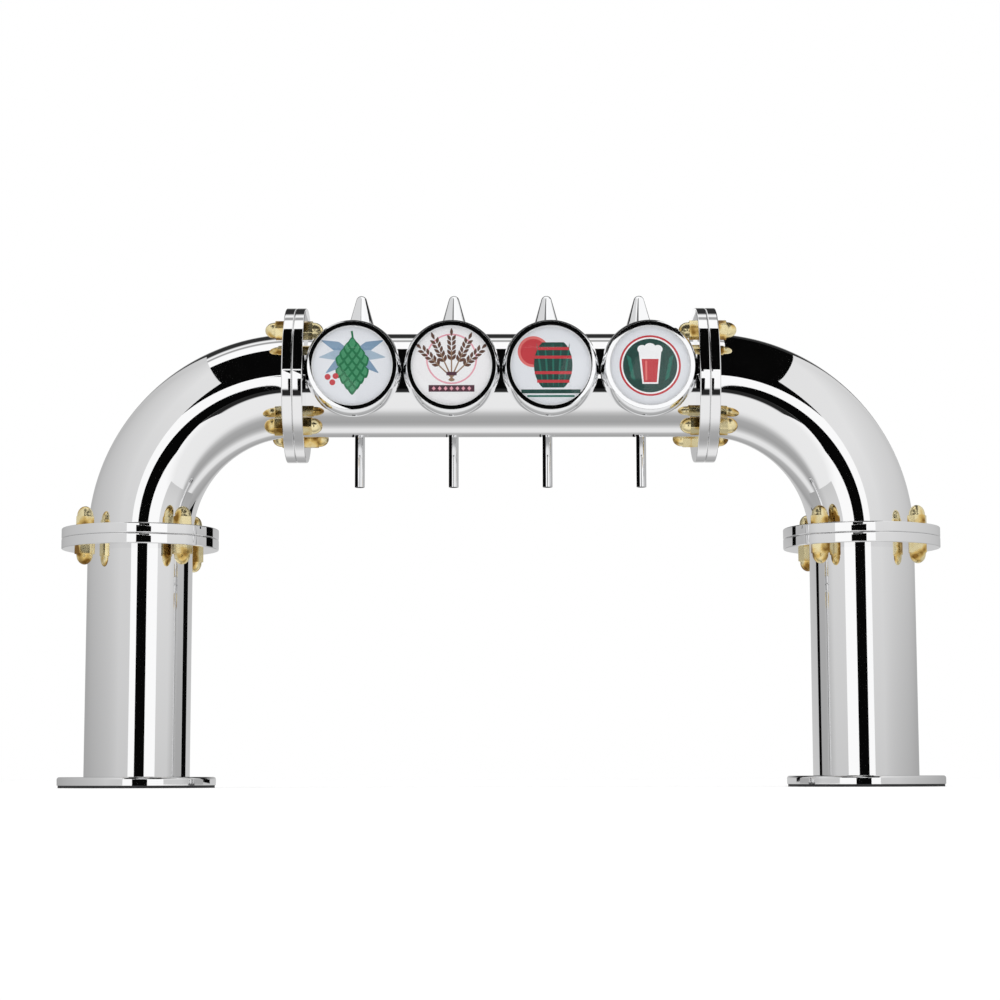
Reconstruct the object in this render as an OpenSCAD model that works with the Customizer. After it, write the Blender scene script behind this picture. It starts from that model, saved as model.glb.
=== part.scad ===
// Bridge beer tower: two columns, two elbows and a bridge tube, joined by bolted pairs of flanges.
// A row of lens medallions faces the guest and a row of plunger taps faces the bar keeper.
// Millimetres. X runs along the bridge, -Y faces the guest, +Z is up.
// The origin lies on the counter, midway between the axes of the two columns.

/* [Tubes] */
// Outside diameter of columns, elbows and bridge
tube_od = 101.6; // [88.9:0.1:114.3]
// Wall of columns, elbows and bridge
tube_wall = 2; // [1.5:0.5:3]
// Height of the joint between a column and its elbow
column_seam_z = 240; // [150:1:500]
// Radius of an elbow's centre line
elbow_radius = 150; // [130:1:200]
// Straight stretch at each end of an elbow
elbow_tangent = 2; // [1:0.5:6]

/* [Flange joints] */
// Width of a flange plate outside the tube
flange_width = 25.2; // [23:0.1:32]
// Thickness of one flange plate
flange_thickness = 10; // [6:0.5:14]
// Chamfer on both edges of a flange plate
flange_chamfer = 1; // [0.4:0.1:2]
// Distance of a stud's axis from the tube's surface
stud_offset = 15.2; // [13:0.1:17]
// Diameter of a stud
stud_d = 10; // [8:1:11]
// Studs in one joint
studs_per_joint = 4; // [4:2:8]
// Width across the flats of a cap nut
nut_flats = 17; // [14:0.5:18]
// Height of a cap nut's hexagon
nut_hex_height = 8; // [6:0.5:10]
// Overall height of a cap nut
nut_height = 18; // [17:0.5:22]
// Step from a cap nut's flats in to its dome
nut_shoulder = 1.4; // [0.3:0.1:2]
// Thickness of a cap nut's dome above its thread
nut_cap = 5; // [4:0.5:8]
// Space left above a stud's end in a cap nut
stud_end_gap = 1; // [0.5:0.5:3]

/* [Base] */
// Width of a base plate outside the tube
base_width = 25.2; // [22:0.1:40]
// Thickness of a base plate
base_thickness = 8; // [6:0.5:14]
// Round on a base plate's upper edge
base_edge = 2.5; // [0.5:0.1:3]
// Diameter of the passage for the lines
base_bore_d = 90; // [60:1:95]
// Distance of a fixing screw's axis from the column's surface
base_screw_offset = 12.7; // [11:0.1:14]
// Diameter of a fixing screw's hole
base_screw_hole_d = 8.5; // [5:0.1:9]
// Diameter of the countersink for a fixing screw
base_countersink_d = 16; // [11:0.5:17]
// Fixing screws in one base plate
base_screws = 4; // [3:1:6]
// Thickness of the rubber gasket under a base plate
gasket_thickness = 2.5; // [1:0.5:5]
// Set-back of the gasket from the base plate's rim and bore
gasket_inset = 1; // [0:0.5:4]

/* [Medallions] */
// Diameter of a medallion's housing at its rear
medallion_d = 93; // [80:0.5:110]
// Inward lean of a housing's wall from rear to front
medallion_flare = 3; // [0:0.5:6]
// Depth of a medallion's housing
medallion_depth = 22; // [18:0.5:30]
// Space between neighbouring housings
medallion_gap = 2; // [1:0.5:20]
// Space between the outermost housing and the bridge flange
medallion_flange_gap = 1; // [1:0.5:20]
// Height of a medallion's centre above the bridge's axis
medallion_rise = 8; // [0:0.5:9]
// Space between a housing and the front of the bridge tube
medallion_standoff = 1.2; // [0.6:0.1:8]
// Width of the flat rim around the lens
rim_width = 3.5; // [2.5:0.1:4]
// Rounding of the rim's outer edge
rim_round = 0.7; // [0.3:0.1:1.2]
// Thickness of a housing's back wall
housing_back = 3; // [2:0.5:5]
// Width of the ledge that carries the face
face_ledge = 4; // [2:0.5:8]
// Thickness of a printed face
face_thickness = 1; // [0.5:0.1:2]
// Thickness of a lens at its edge
lens_edge = 1.5; // [1:0.1:2.5]
// Height of a lens's dome above its edge
lens_dome = 1.2; // [0.4:0.1:2]
// Diameter of the pad between a housing and the tube
pad_d = 36; // [24:1:50]
// Diameter of a medallion's fixing screw
medallion_screw_d = 8; // [5:0.5:10]
// Width of the ledge under the head of a medallion's screw
medallion_screw_ledge = 3; // [2:0.5:5]
// Height of the head of a medallion's screw
medallion_screw_head = 4; // [2:0.5:6]
// Length of a medallion's screw past its nut
medallion_screw_tail = 2; // [1:0.5:10]
// Width across the flats of a medallion's nut
medallion_nut_flats = 13; // [11:0.5:17]
// Thickness of a medallion's nut
medallion_nut_height = 6; // [3:0.5:8]

/* [Taps] */
// Number of taps and medallions
tap_count = 4; // [2:2:6]
// Diameter of the shank's thread
shank_d = 18; // [16:0.5:20]
// Bore of the shank
shank_bore = 6; // [4:0.5:7]
// Diameter of the shank's head, where the coupling nut screws on
shank_head_d = 24; // [22:0.5:27]
// Length of the shank's head
shank_head_length = 7; // [6:0.5:12]
// Diameter of the saddle between shank and bridge
saddle_d = 34; // [28:0.5:40]
// Thickness of the saddle in its middle
saddle_thickness = 6; // [4:0.5:10]
// Width across the flats of the locknut inside the bridge
locknut_flats = 24; // [22:0.5:28]
// Thickness of the locknut
locknut_height = 6; // [4:0.5:8]
// Length of the shank past its locknut
shank_tail = 4; // [2:0.5:8]
// Thickness of the seal between shank and tap
tap_seal = 1; // [0.5:0.1:2]
// Outside diameter of the coupling nut
coupling_d = 32; // [30:0.5:38]
// Thickness of the coupling nut's lip
coupling_lip = 2.5; // [1.5:0.1:4]
// Thickness of the collar on the tap's tail
tail_collar = 1.5; // [1:0.1:3]
// Diameter of the tap's barrel
barrel_d = 25; // [22:0.5:30]
// Wall at the closed end of the barrel
barrel_end = 4; // [2:0.5:6]
// Diameter of the inlet chamber
inlet_d = 15.8; // [14:0.1:16.4]
// Diameter of the plunger's guide
guide_d = 12; // [10:0.1:13]
// Length of the plunger's guide
guide_length = 12; // [9:0.5:18]
// Diameter of the plunger's stem
plunger_stem_d = 5; // [3:0.5:6]
// Thickness of the plunger's sealing head
plunger_head = 3; // [2:0.5:5]
// Outside diameter of the spout
spout_d = 10; // [8:0.5:12]
// Wall of the spout
spout_wall = 0.8; // [0.5:0.1:1.5]
// Depth of the spout's end below the bridge's axis
spout_drop = 91.5; // [70:0.5:150]
// Length of the spout's socket under the barrel
spout_socket = 8; // [5:0.5:12]
// Wall of the spout's socket
spout_socket_wall = 3; // [2:0.5:4]
// Depth of the spout's seat below the barrel
spout_seat = 0.5; // [0.5:0.5:3]
// Rounding of the edges of tap bodies, saddles and coupling nuts
tap_edge = 1.2; // [0.4:0.1:1.5]

/* [Levers and handles] */
// Travel of a lever from shut to open, in degrees
lever_travel = 30; // [15:1:32]
// Distance from the lever's pin to its ball
lever_arm = 11.5; // [10:0.5:14]
// Height of the lever's ball above the barrel's axis
lever_ball_rise = 3; // [2:0.5:3.5]
// Diameter of the lever's ball
lever_ball_d = 5; // [4:0.5:5]
// Diameter of the lever's neck above its ball
lever_neck_d = 3; // [2:0.5:3]
// Diameter of the lever's hub
lever_hub_d = 9; // [8:0.5:11]
// Diameter of the lever's stem
lever_stem_d = 7; // [5:0.5:8]
// Diameter of the lever's pin
lever_pin_d = 4; // [3:0.5:5]
// Diameter of the tower that carries the lever's pin
lever_tower_d = 22; // [20:0.5:24]
// Wall at both ends of the tower's slot
lever_tower_wall = 2; // [1:0.5:2.5]
// Space beside the lever's stem in the tower's slot
lever_slot_gap = 0.7; // [0.5:0.1:1.5]
// Play of the lever's ball in the plunger, on each side
lever_ball_play = 0.6; // [0.5:0.1:1]
// Height of the collar that carries the handle
lever_collar = 4; // [2:0.5:6]
// Diameter of the ferrule below the handle's bulb
ferrule_d = 14; // [12:0.5:18]
// Height of the ferrule's lower end above the bridge's axis
ferrule_rise = 40; // [34:0.5:60]
// Height of the handle's tip above the bridge's axis
handle_rise = 108.5; // [95:0.5:160]
// Radius of the handle's rounded tip
handle_tip_r = 7.2; // [4:0.1:9]
// Radius of the handle's bulb
handle_bulb_r = 14.2; // [12:0.1:18]
// Half the angle of the handle's cone
handle_cone_angle = 14.5; // [10:0.5:25]
// Depth of the lever's thread in the handle
handle_thread_depth = 20; // [12:1:26]

/* [Lines] */
// Outside diameter of a beer line
beer_line_d = 8; // [6:0.5:9.5]
// Wall of a beer line
beer_line_wall = 1; // [0.5:0.1:1.5]
// Outside diameter of the cooling line
cooling_line_d = 10; // [8:0.5:12]
// Wall of the cooling line
cooling_line_wall = 1; // [0.5:0.1:1.5]
// Radius of a beer line's bend behind its tap
line_bend = 18; // [15:1:22]
// Depth of a beer line's seat in the shank
line_seat = 10; // [6:1:14]
// Offset of the outermost beer line's run from the bridge's axis
line_run_y = 6; // [0:1:10]
// Height of the lines' lower ends above the base plate
line_end_rise = 15; // [5:1:60]

/* [Hidden] */
$fn = 96;
// Radial gap between a tube and the bore of its flange
weld_gap = 0.15;
// Gap between pieces that are seated on a round surface
seat_gap = 0.1;
// Radial gap between a screw or stud and its thread
thread_gap = 0.05;
// Radial gap between a stud or screw and a plain hole
hole_gap = 0.5;
// Radial gap of a fit that runs
run_gap = 0.05;
// Gap beside pieces that pass each other
side_gap = 0.3;
// Overrun of a cut past the surface that it opens
cut = 1;

tube_r = tube_od / 2;
tube_inner_r = tube_r - tube_wall;
base_top_z = gasket_thickness + base_thickness;
bridge_z = column_seam_z + elbow_tangent + elbow_radius;
medallion_pitch = medallion_d + medallion_gap;
bridge_end = medallion_d / 2 + medallion_flange_gap + flange_thickness;
bridge_half = (tap_count - 1) / 2 * medallion_pitch + bridge_end;
column_x = bridge_half + elbow_tangent + elbow_radius;

// An elbow already bends inside its flange, so its inner side leans towards the bore
bend_inner_r = elbow_radius - tube_r;
bend_inside_flange = max(0, flange_thickness - elbow_tangent);
bend_lean = bend_inner_r - sqrt(bend_inner_r * bend_inner_r - bend_inside_flange * bend_inside_flange);
straight_bore_r = tube_r + weld_gap;
elbow_bore_r = straight_bore_r + bend_lean;

flange_r = tube_r + flange_width;
stud_circle_r = tube_r + stud_offset;
nut_dome_r = nut_flats / 2 - nut_shoulder;
nut_thread_depth = nut_height - nut_cap;
stud_length = 2 * (flange_thickness + nut_thread_depth - stud_end_gap);
base_r = tube_r + base_width;
base_screw_circle_r = tube_r + base_screw_offset;

medallion_z = bridge_z + medallion_rise;
housing_rear = tube_r + medallion_standoff;
housing_front = housing_rear + medallion_depth;
housing_front_r = medallion_d / 2 - medallion_flare;
face_r = housing_front_r - rim_width;
lens_r = face_r - seat_gap;
face_seat = housing_front - face_thickness - lens_edge - lens_dome - side_gap;
lens_dome_r = (lens_r * lens_r + lens_dome * lens_dome) / (2 * lens_dome);
// Height of the lens's dome above its edge, at a distance from its centre
function dome_height(r) = sqrt(lens_dome_r * lens_dome_r - r * r) - lens_dome_r + lens_dome;
medallion_nut_r = medallion_nut_flats / 2 / cos(30);
medallion_nut_reach = medallion_rise + medallion_nut_r;
medallion_nut_seat = sqrt(tube_inner_r * tube_inner_r - medallion_nut_reach * medallion_nut_reach) - seat_gap;
medallion_screw_end = medallion_nut_seat - medallion_nut_height - medallion_screw_tail;

// Distances behind the bridge's axis, from the tube's surface to the end of a tap
saddle_y = tube_r + saddle_thickness;
locknut_y = sqrt(tube_inner_r * tube_inner_r - locknut_flats * locknut_flats / 4) - seat_gap;
shank_inner_y = locknut_y - locknut_height - shank_tail;
shank_head_y = saddle_y + shank_head_length;
tail_y = shank_head_y + tap_seal;
neck_y = tail_y + tail_collar;
barrel_y = neck_y + coupling_lip + side_gap;
plunger_stroke = lever_arm * sin(lever_travel);
plunger_seat_y = tail_y + plunger_head + plunger_stroke + 2 * side_gap;
spout_y = plunger_seat_y + spout_d / 2 + side_gap;
guide_y = spout_y + spout_d / 2 + plunger_stroke;
lever_y = guide_y + guide_length / 2;
chamber_end_y = guide_y + guide_length + side_gap;
barrel_end_y = chamber_end_y + barrel_end;

chamber_r = guide_d / 2 + run_gap;
neck_r = (inlet_d + shank_head_d) / 4;
coupling_thread_r = shank_head_d / 2 + thread_gap;
lever_pin_rise = lever_ball_rise + lever_arm;
lever_tower_top = lever_pin_rise + lever_hub_d / 2 + cut;
lever_slot_w = lever_stem_d + 2 * lever_slot_gap;
lever_slot_l = lever_tower_d - 2 * lever_tower_wall;
plunger_slot_l = lever_ball_d + 2 * lever_ball_play;
spout_socket_r = spout_d / 2 + spout_socket_wall;
spout_top = barrel_d / 2 + spout_seat;
spout_bore_r = spout_d / 2 - spout_wall;
handle_bulb_drop = handle_tip_r + (handle_bulb_r - handle_tip_r) / sin(handle_cone_angle);

beer_line_r = beer_line_d / 2;
cooling_line_r = cooling_line_d / 2;
line_pitch = beer_line_d + cut;
line_end_z = base_top_z + line_end_rise;
cooling_drop = beer_line_r + cooling_line_r + side_gap;

SIDES = [-1, 1];
TAPS = [1:tap_count];
function side_name(s) = s < 0 ? "left" : "right";
function tap_x(k) = (k - (tap_count + 1) / 2) * medallion_pitch;
function tap_side(k) = k <= tap_count / 2 ? -1 : 1;
// How many taps lie between tap k and its column
function tap_rank(k) = min(k - 1, tap_count - k);

SIDE_NODES = ["base_gasket", "base_plate", "column_tube", "column_flange", "elbow_lower_flange",
    "elbow", "elbow_upper_flange", "bridge_flange"];
GROUP_NODES = ["bridge_tube", "joint_studs", "joint_cap_nuts", "medallion_pads", "medallion_screws",
    "medallion_nuts", "tap_shanks", "shank_saddles", "shank_locknuts", "tap_seals", "coupling_nuts",
    "tap_spouts", "lever_pins", "beer_lines", "cooling_line"];
TAP_NODES = ["medallion_housing", "medallion_face", "medallion_lens", "tap_body", "tap_plunger",
    "tap_lever", "tap_handle"];

// Building shapes

module rod_x(r, x0, x1) {
    translate([x0, 0, 0]) rotate([0, 90, 0]) cylinder(h = x1 - x0, r = r);
}

module rod_y(r, y0, y1) {
    translate([0, y0, 0]) rotate([-90, 0, 0]) cylinder(h = y1 - y0, r = r);
}

module rod_z(r, z0, z1) {
    translate([0, 0, z0]) cylinder(h = z1 - z0, r = r);
}

// A rod's half section with both rims rounded
module rounded_profile(r, length, edge) {
    square([r - edge, length]);
    translate([0, edge]) square([r, length - 2 * edge]);
    for (z = [edge, length - edge]) translate([r - edge, z]) circle(edge);
}

module rounded_rod_y(r, y0, y1, edge) {
    translate([0, y0, 0]) rotate([-90, 0, 0]) rotate_extrude() rounded_profile(r, y1 - y0, edge);
}

module rounded_rod_z(r, z0, z1, edge) {
    translate([0, 0, z0]) rotate_extrude() rounded_profile(r, z1 - z0, edge);
}

module ring_profile(outer_r, inner_r) {
    difference() {
        circle(outer_r);
        circle(inner_r);
    }
}

// A tube along Z
module tube_z(outer_r, inner_r, z0, z1) {
    translate([0, 0, z0]) linear_extrude(z1 - z0) ring_profile(outer_r, inner_r);
}

// A quarter bend in the XZ plane, from +X of its centre to +Z of it
module quarter_bend(bend_r, outer_r, inner_r) {
    rotate([90, 0, 0]) rotate_extrude(angle = 90) translate([bend_r, 0]) ring_profile(outer_r, inner_r);
}

module hexagon(flats, z0, z1) {
    translate([0, 0, z0]) cylinder(h = z1 - z0, r = flats / 2 / cos(30), $fn = 6);
}

// A hexagon whose far corners are turned down to the circle of its flats
module turned_hexagon(flats, height) {
    corner_r = flats / 2 / cos(30);
    turn = corner_r - flats / 2;
    intersection() {
        hexagon(flats, 0, height);
        rotate_extrude() polygon([[0, 0], [corner_r, 0], [corner_r, height - turn * tan(30)],
            [flats / 2 - turn / 2, height], [0, height]]);
    }
}

// Puts what is drawn at the tap's place on the bridge's axis
module at_tap(k) {
    translate([tap_x(k), 0, bridge_z]) children();
}

// Turns +Z towards the guest, at the medallion's centre
module at_medallion(k) {
    translate([tap_x(k), 0, medallion_z]) rotate([90, 0, 0]) children();
}

// Puts a flange joint, drawn around Z, on a column or on the bridge
module at_column_joint(s) {
    translate([s * column_x, 0, column_seam_z]) children();
}

module at_bridge_joint(s) {
    translate([s * bridge_half, 0, bridge_z]) rotate([0, s * 90, 0]) children();
}

module at_all_joints() {
    for (s = SIDES) {
        at_column_joint(s) children();
        at_bridge_joint(s) children();
    }
}

module around_studs() {
    for (i = [0:studs_per_joint - 1]) {
        rotate([0, 0, (i + 0.5) * 360 / studs_per_joint]) translate([stud_circle_r, 0, 0]) children();
    }
}

module around_base_screws() {
    for (i = [0:base_screws - 1]) {
        rotate([0, 0, (i + 0.5) * 360 / base_screws]) translate([base_screw_circle_r, 0, 0]) children();
    }
}

// A flange plate that lies on the seam and rises along +Z
module flange_plate(bore_r) {
    difference() {
        rotate_extrude() polygon([[bore_r, 0], [flange_r - flange_chamfer, 0], [flange_r, flange_chamfer],
            [flange_r, flange_thickness - flange_chamfer], [flange_r - flange_chamfer, flange_thickness],
            [bore_r, flange_thickness]]);
        around_studs() rod_z(stud_d / 2 + hole_gap, -cut, flange_thickness + cut);
    }
}

// Columns, elbows and bridge

module base_gasket(s) {
    color("#202020") translate([s * column_x, 0, 0]) difference() {
        tube_z(base_r - gasket_inset, base_bore_d / 2 + gasket_inset, 0, gasket_thickness);
        around_base_screws() rod_z(base_screw_hole_d / 2, -cut, gasket_thickness + cut);
    }
}

module base_plate(s) {
    color("#d4d6d8") translate([s * column_x, 0, gasket_thickness]) difference() {
        rotate_extrude() difference() {
            translate([base_bore_d / 2, 0]) square([base_r - base_bore_d / 2, base_thickness]);
            translate([base_r - base_edge, base_thickness - base_edge]) difference() {
                square(base_edge + cut);
                circle(base_edge);
            }
        }
        around_base_screws() {
            rod_z(base_screw_hole_d / 2, -cut, base_thickness + cut);
            sink = (base_countersink_d - base_screw_hole_d) / 2;
            translate([0, 0, base_thickness - sink])
                cylinder(h = sink + cut, r1 = base_screw_hole_d / 2, r2 = base_countersink_d / 2 + cut);
        }
    }
}

module column_tube(s) {
    color("#d8dadc") translate([s * column_x, 0, 0]) tube_z(tube_r, tube_inner_r, base_top_z, column_seam_z);
}

module column_flange(s) {
    color("#d0d2d4") at_column_joint(s) mirror([0, 0, 1]) flange_plate(straight_bore_r);
}

module elbow_lower_flange(s) {
    color("#d0d2d4") at_column_joint(s) flange_plate(elbow_bore_r);
}

module elbow_upper_flange(s) {
    color("#d0d2d4") at_bridge_joint(s) flange_plate(elbow_bore_r);
}

module bridge_flange(s) {
    color("#d0d2d4") at_bridge_joint(s) mirror([0, 0, 1]) flange_plate(straight_bore_r);
}

module elbow(s) {
    color("#d8dadc") {
        translate([s * (column_x - elbow_radius), 0, column_seam_z + elbow_tangent])
            mirror([s < 0 ? 1 : 0, 0, 0]) quarter_bend(elbow_radius, tube_r, tube_inner_r);
        at_column_joint(s) tube_z(tube_r, tube_inner_r, 0, elbow_tangent);
        at_bridge_joint(s) tube_z(tube_r, tube_inner_r, 0, elbow_tangent);
    }
}

module bridge_tube() {
    color("#d8dadc") difference() {
        translate([0, 0, bridge_z]) rotate([0, 90, 0])
            tube_z(tube_r, tube_inner_r, -bridge_half, bridge_half);
        for (k = TAPS) {
            at_tap(k) rod_y(shank_d / 2 + hole_gap, 0, tube_r + cut);
            at_medallion(k) rod_z(medallion_screw_d / 2 + hole_gap, 0, tube_r + cut);
        }
    }
}

module joint_studs() {
    color("#c9a24a") at_all_joints() around_studs() rod_z(stud_d / 2, -stud_length / 2, stud_length / 2);
}

// A domed nut that stands on Z = 0
module cap_nut() {
    difference() {
        union() {
            turned_hexagon(nut_flats, nut_hex_height);
            rod_z(nut_dome_r, 0, nut_height - nut_dome_r);
            translate([0, 0, nut_height - nut_dome_r]) sphere(nut_dome_r);
        }
        rod_z(stud_d / 2 + thread_gap, -cut, nut_thread_depth);
    }
}

module joint_cap_nuts() {
    color("#d9b25c") at_all_joints() around_studs() {
        translate([0, 0, flange_thickness]) cap_nut();
        mirror([0, 0, 1]) translate([0, 0, flange_thickness]) cap_nut();
    }
}

// Medallions

// The housing's section: flared wall, flat rim, recess for the lens and hollow for the light
module housing_profile() {
    difference() {
        union() {
            polygon([[0, housing_rear], [medallion_d / 2, housing_rear],
                [housing_front_r, housing_front - rim_round], [housing_front_r - rim_round, housing_front],
                [0, housing_front]]);
            translate([housing_front_r - rim_round, housing_front - rim_round]) circle(rim_round);
        }
        translate([0, face_seat]) square([face_r, medallion_depth]);
        translate([0, housing_rear + housing_back]) square([face_r - face_ledge, medallion_depth]);
        translate([0, housing_rear - cut]) square([medallion_screw_d / 2 + hole_gap, housing_back + 2 * cut]);
    }
}

module medallion_housing(k) {
    color("#dfe1e3") at_medallion(k) rotate_extrude() housing_profile();
}

module medallion_face(k) {
    color("#dfe3e8") at_medallion(k) rod_z(lens_r, face_seat, face_seat + face_thickness);
}

// The dome is turned from short cones, stepped out along the lens's radius
module medallion_lens(k) {
    lens_rear = face_seat + face_thickness;
    dome_steps = 8;
    color("#eef2f6", 0.5) at_medallion(k) rotate_extrude() polygon(concat(
        [[0, lens_rear], [lens_r, lens_rear]],
        [for (i = [dome_steps:-1:0]) [lens_r * i / dome_steps,
            lens_rear + lens_edge + dome_height(lens_r * i / dome_steps)]]));
}

module medallion_pads() {
    color("#303234") difference() {
        for (k = TAPS) at_medallion(k) rod_z(pad_d / 2, tube_inner_r / 2, housing_rear);
        translate([0, 0, bridge_z]) rod_x(tube_r + seat_gap, -bridge_half, bridge_half);
        for (k = TAPS) at_medallion(k) rod_z(medallion_screw_d / 2 + hole_gap, 0, housing_rear + cut);
    }
}

module medallion_screws() {
    head_z = housing_rear + housing_back;
    color("#b8bcc0") for (k = TAPS) at_medallion(k) {
        rod_z(medallion_screw_d / 2, medallion_screw_end, head_z);
        rod_z(medallion_screw_d / 2 + medallion_screw_ledge, head_z, head_z + medallion_screw_head);
    }
}

module medallion_nuts() {
    color("#b8bcc0") for (k = TAPS) at_medallion(k) difference() {
        hexagon(medallion_nut_flats, medallion_nut_seat - medallion_nut_height, medallion_nut_seat);
        rod_z(medallion_screw_d / 2 + thread_gap, medallion_screw_end, medallion_nut_seat + cut);
    }
}

// Taps

module tap_shanks() {
    color("#c8cacc") for (k = TAPS) at_tap(k) difference() {
        union() {
            rod_y(shank_d / 2, shank_inner_y, saddle_y);
            rod_y(shank_head_d / 2, saddle_y, shank_head_y);
        }
        rod_y(shank_bore / 2, shank_inner_y - cut, shank_head_y + cut);
        rod_y(beer_line_r + seat_gap, shank_inner_y - cut, shank_inner_y + line_seat);
    }
}

module shank_saddles() {
    color("#d0d2d4") difference() {
        for (k = TAPS) at_tap(k) rounded_rod_y(saddle_d / 2, tube_inner_r / 2, saddle_y, tap_edge);
        translate([0, 0, bridge_z]) rod_x(tube_r + seat_gap, -bridge_half, bridge_half);
        for (k = TAPS) at_tap(k) rod_y(shank_d / 2 + seat_gap, 0, saddle_y + cut);
    }
}

module shank_locknuts() {
    color("#b8bcc0") for (k = TAPS) at_tap(k) difference() {
        rotate([-90, 0, 0]) rotate([0, 0, 30]) hexagon(locknut_flats, locknut_y - locknut_height, locknut_y);
        rod_y(shank_d / 2 + thread_gap, shank_inner_y, locknut_y + cut);
    }
}

module tap_seals() {
    color("#242424") for (k = TAPS) at_tap(k) difference() {
        rod_y(shank_head_d / 2 - side_gap, shank_head_y, tail_y);
        rod_y(inlet_d / 2, shank_head_y - cut, tail_y + cut);
    }
}

module coupling_nuts() {
    grip_count = 8;
    grip_r = 2.5;
    color("#d0d2d4") for (k = TAPS) at_tap(k) difference() {
        rounded_rod_y(coupling_d / 2, saddle_y + side_gap, neck_y + coupling_lip, tap_edge);
        rod_y(coupling_thread_r, saddle_y, neck_y);
        rod_y(neck_r + thread_gap, neck_y - cut, neck_y + coupling_lip + cut);
        for (i = [0:grip_count - 1]) {
            rotate([0, (i + 0.5) * 360 / grip_count, 0]) translate([coupling_d / 2 + grip_r / 2, 0, 0])
                rod_y(grip_r, saddle_y, neck_y + coupling_lip + cut);
        }
    }
}

// The barrel lies along Y, with the lever's tower above it and the spout's socket below it
module tap_body(k) {
    color("#d6d8da") at_tap(k) difference() {
        union() {
            rod_y(shank_head_d / 2 - side_gap, tail_y, neck_y);
            rod_y(neck_r, tail_y, barrel_y);
            rounded_rod_y(barrel_d / 2, barrel_y, barrel_end_y, tap_edge);
            translate([0, lever_y, 0]) rounded_rod_z(lever_tower_d / 2, 0, lever_tower_top, tap_edge);
            translate([0, spout_y, 0]) rounded_rod_z(spout_socket_r, -spout_top - spout_socket, 0, tap_edge);
        }
        rod_y(inlet_d / 2, tail_y - cut, plunger_seat_y);
        rod_y(chamber_r, plunger_seat_y - cut, chamber_end_y);
        translate([-lever_slot_w / 2, lever_y - lever_slot_l / 2, 0])
            cube([lever_slot_w, lever_slot_l, lever_tower_top + cut]);
        translate([0, lever_y, lever_pin_rise])
            rod_x(lever_pin_d / 2 + thread_gap, -lever_tower_d, lever_tower_d);
        translate([0, spout_y, 0]) {
            rod_z(spout_bore_r, -spout_top - spout_socket - cut, 0);
            rod_z(spout_d / 2 + thread_gap, -spout_top - spout_socket - cut, -spout_top);
        }
    }
}

module tap_spouts() {
    color("#d6d8da") for (k = TAPS) at_tap(k) translate([0, spout_y, 0])
        tube_z(spout_d / 2, spout_bore_r, -spout_drop, -spout_top);
}

module lever_pins() {
    color("#b8bcc0") for (k = TAPS) at_tap(k) translate([0, lever_y, lever_pin_rise])
        rod_x(lever_pin_d / 2, -lever_tower_d / 2 + cut, lever_tower_d / 2 - cut);
}

// Sealing head against the seat, a thin stem past the spout, and a guide with a slot for the ball
module tap_plunger(k) {
    color("#c8cacc") at_tap(k) difference() {
        union() {
            rod_y((inlet_d / 2 + chamber_r) / 2, plunger_seat_y - plunger_head, plunger_seat_y - run_gap);
            rod_y(plunger_stem_d / 2, plunger_seat_y - plunger_head, guide_y + cut);
            rod_y(guide_d / 2, guide_y, guide_y + guide_length);
        }
        translate([-guide_d, lever_y - plunger_slot_l / 2, lever_ball_rise - lever_ball_d / 2 - side_gap])
            cube([2 * guide_d, plunger_slot_l, guide_d]);
    }
}

module tap_lever(k) {
    color("#d6d8da") at_tap(k) translate([0, lever_y, 0]) difference() {
        union() {
            translate([0, 0, lever_ball_rise]) sphere(lever_ball_d / 2);
            rod_z(lever_neck_d / 2, lever_ball_rise, lever_pin_rise);
            translate([0, 0, lever_pin_rise])
                rod_x(lever_hub_d / 2, side_gap - lever_slot_w / 2, lever_slot_w / 2 - side_gap);
            rod_z(lever_stem_d / 2, lever_pin_rise, ferrule_rise);
            rod_z(ferrule_d / 2 - cut, ferrule_rise - lever_collar, ferrule_rise);
            rod_z(lever_stem_d / 2 - cut, ferrule_rise, ferrule_rise + handle_thread_depth - cut);
        }
        translate([0, 0, lever_pin_rise]) rod_x(lever_pin_d / 2 + run_gap, -lever_slot_w, lever_slot_w);
    }
}

// A drop: rounded tip and bulb joined by the cone that touches both, on a ferrule
module handle_profile() {
    tip_z = handle_rise - handle_tip_r;
    bulb_z = handle_rise - handle_bulb_drop;
    touch = [cos(handle_cone_angle), sin(handle_cone_angle)];
    tip_touch = [0, tip_z] + handle_tip_r * touch;
    bulb_touch = [0, bulb_z] + handle_bulb_r * touch;
    intersection() {
        translate([0, tip_z]) circle(handle_tip_r);
        translate([0, tip_touch.y]) square(handle_tip_r);
    }
    polygon([[0, bulb_touch.y], bulb_touch, tip_touch, [0, tip_touch.y]]);
    intersection() {
        union() {
            translate([0, bulb_z]) circle(handle_bulb_r);
            translate([0, ferrule_rise]) square([ferrule_d / 2, bulb_z - ferrule_rise]);
        }
        translate([0, ferrule_rise]) square([handle_bulb_r + cut, bulb_touch.y - ferrule_rise]);
    }
}

module tap_handle(k) {
    color("#dcdee0") at_tap(k) translate([0, lever_y, 0]) difference() {
        rotate_extrude() handle_profile();
        rod_z(lever_stem_d / 2 - cut + thread_gap, ferrule_rise - cut, ferrule_rise + handle_thread_depth);
    }
}

// Lines inside the tubes

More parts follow.
